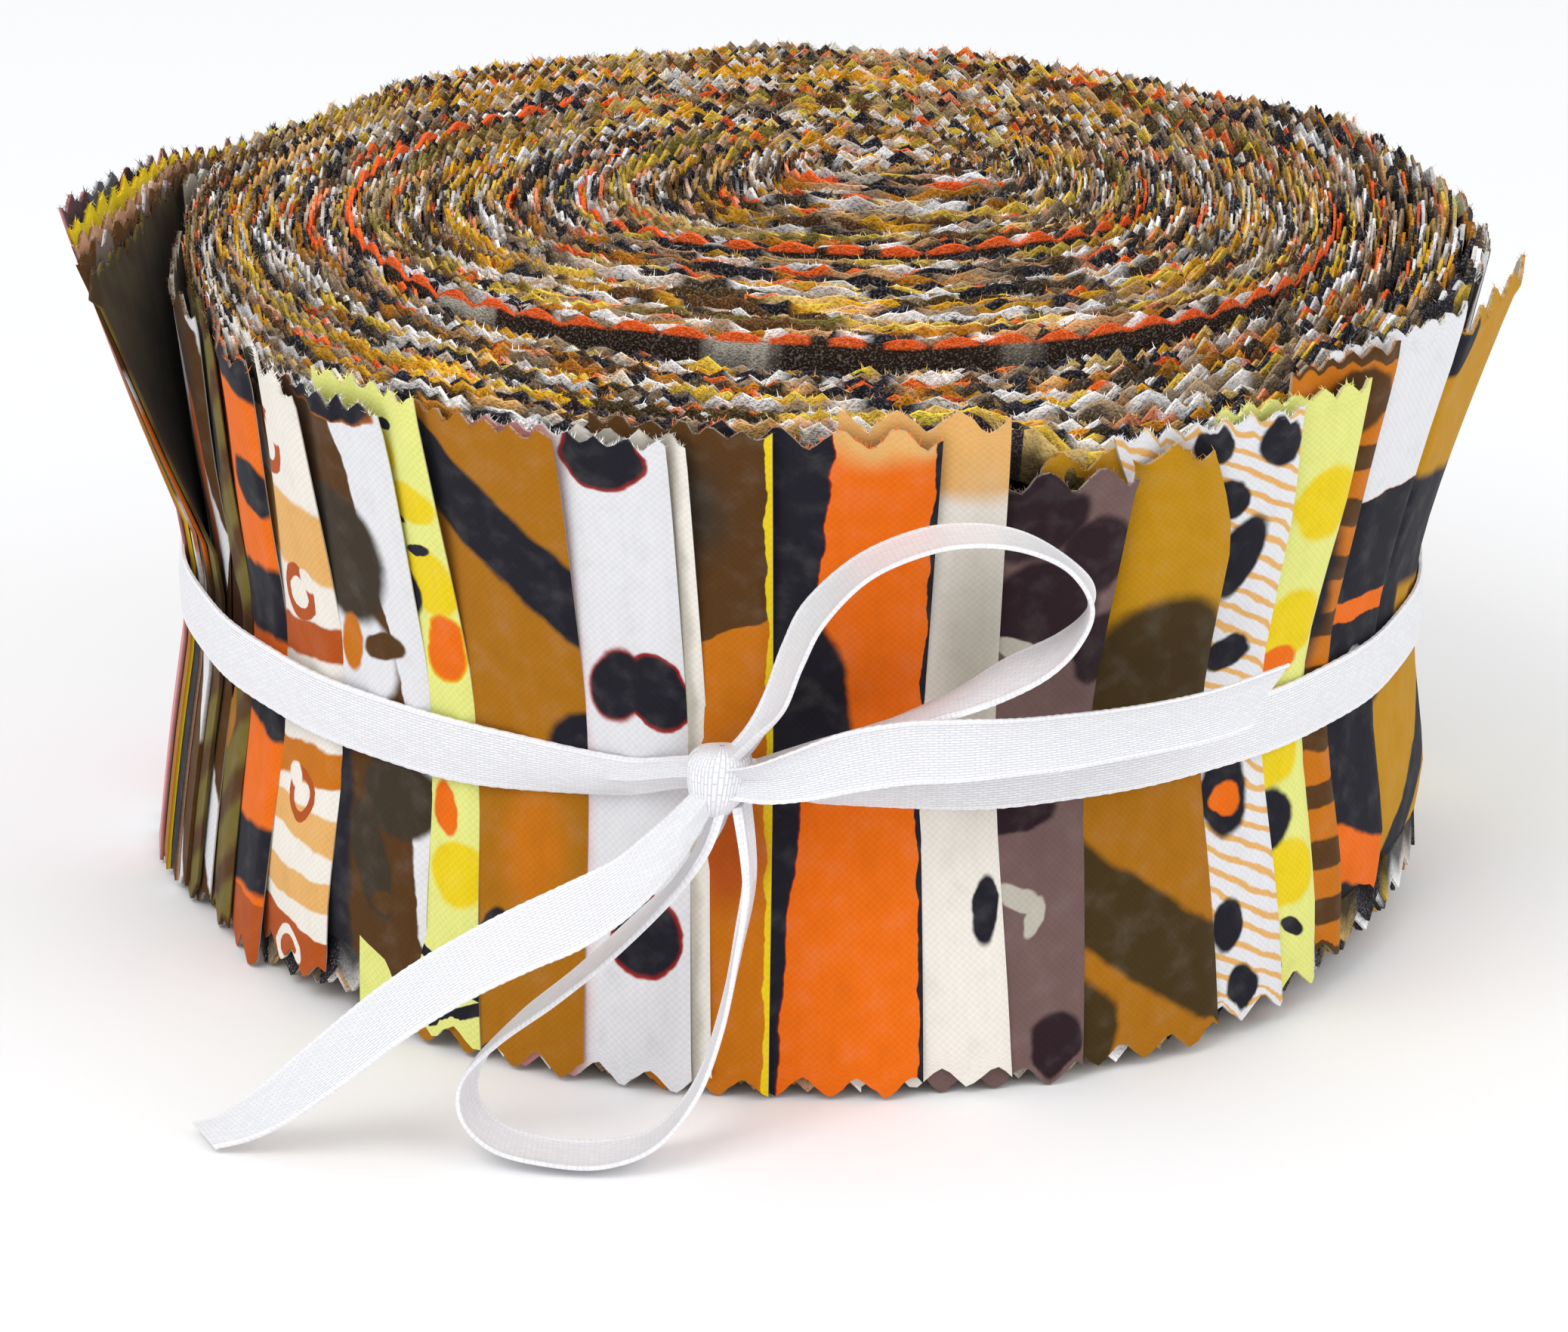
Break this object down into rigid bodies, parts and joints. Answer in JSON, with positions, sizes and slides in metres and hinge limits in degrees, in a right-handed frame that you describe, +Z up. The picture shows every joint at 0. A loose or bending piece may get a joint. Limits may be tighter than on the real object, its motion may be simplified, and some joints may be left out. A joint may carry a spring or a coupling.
{
  "type": "fabric strip roll",
  "caption": "Wound bundle of folded, pinked, printed cotton strips that flares above and below a narrow white satin ribbon tied in a bow round its waist.",
  "frame": {"origin": "middle of the flat bottom on which the roll stands", "axes": "+Z up along the winding's axis, the bow in front at -Y, the loose end of the winding at -X"},
  "size_m": [0.1335, 0.1355, 0.0629],
  "materials": {
    "printed_cotton": "plain woven cotton, printed in mustard, orange, lime, white, brown and black",
    "cotton_inner_side": "plain woven cotton, olive brown",
    "white_satin": "white double-faced satin ribbon"
  },
  "bodies": {
    "root": {"roll": "printed_cotton", "loose_end": "cotton_inner_side", "ribbon_band": "white_satin", "ribbon_knot": "white_satin", "ribbon_loop_upper": "white_satin", "ribbon_loop_lower": "white_satin", "ribbon_tail_right": "white_satin", "ribbon_tail_left": "white_satin"}
  },
  "joints": []
}
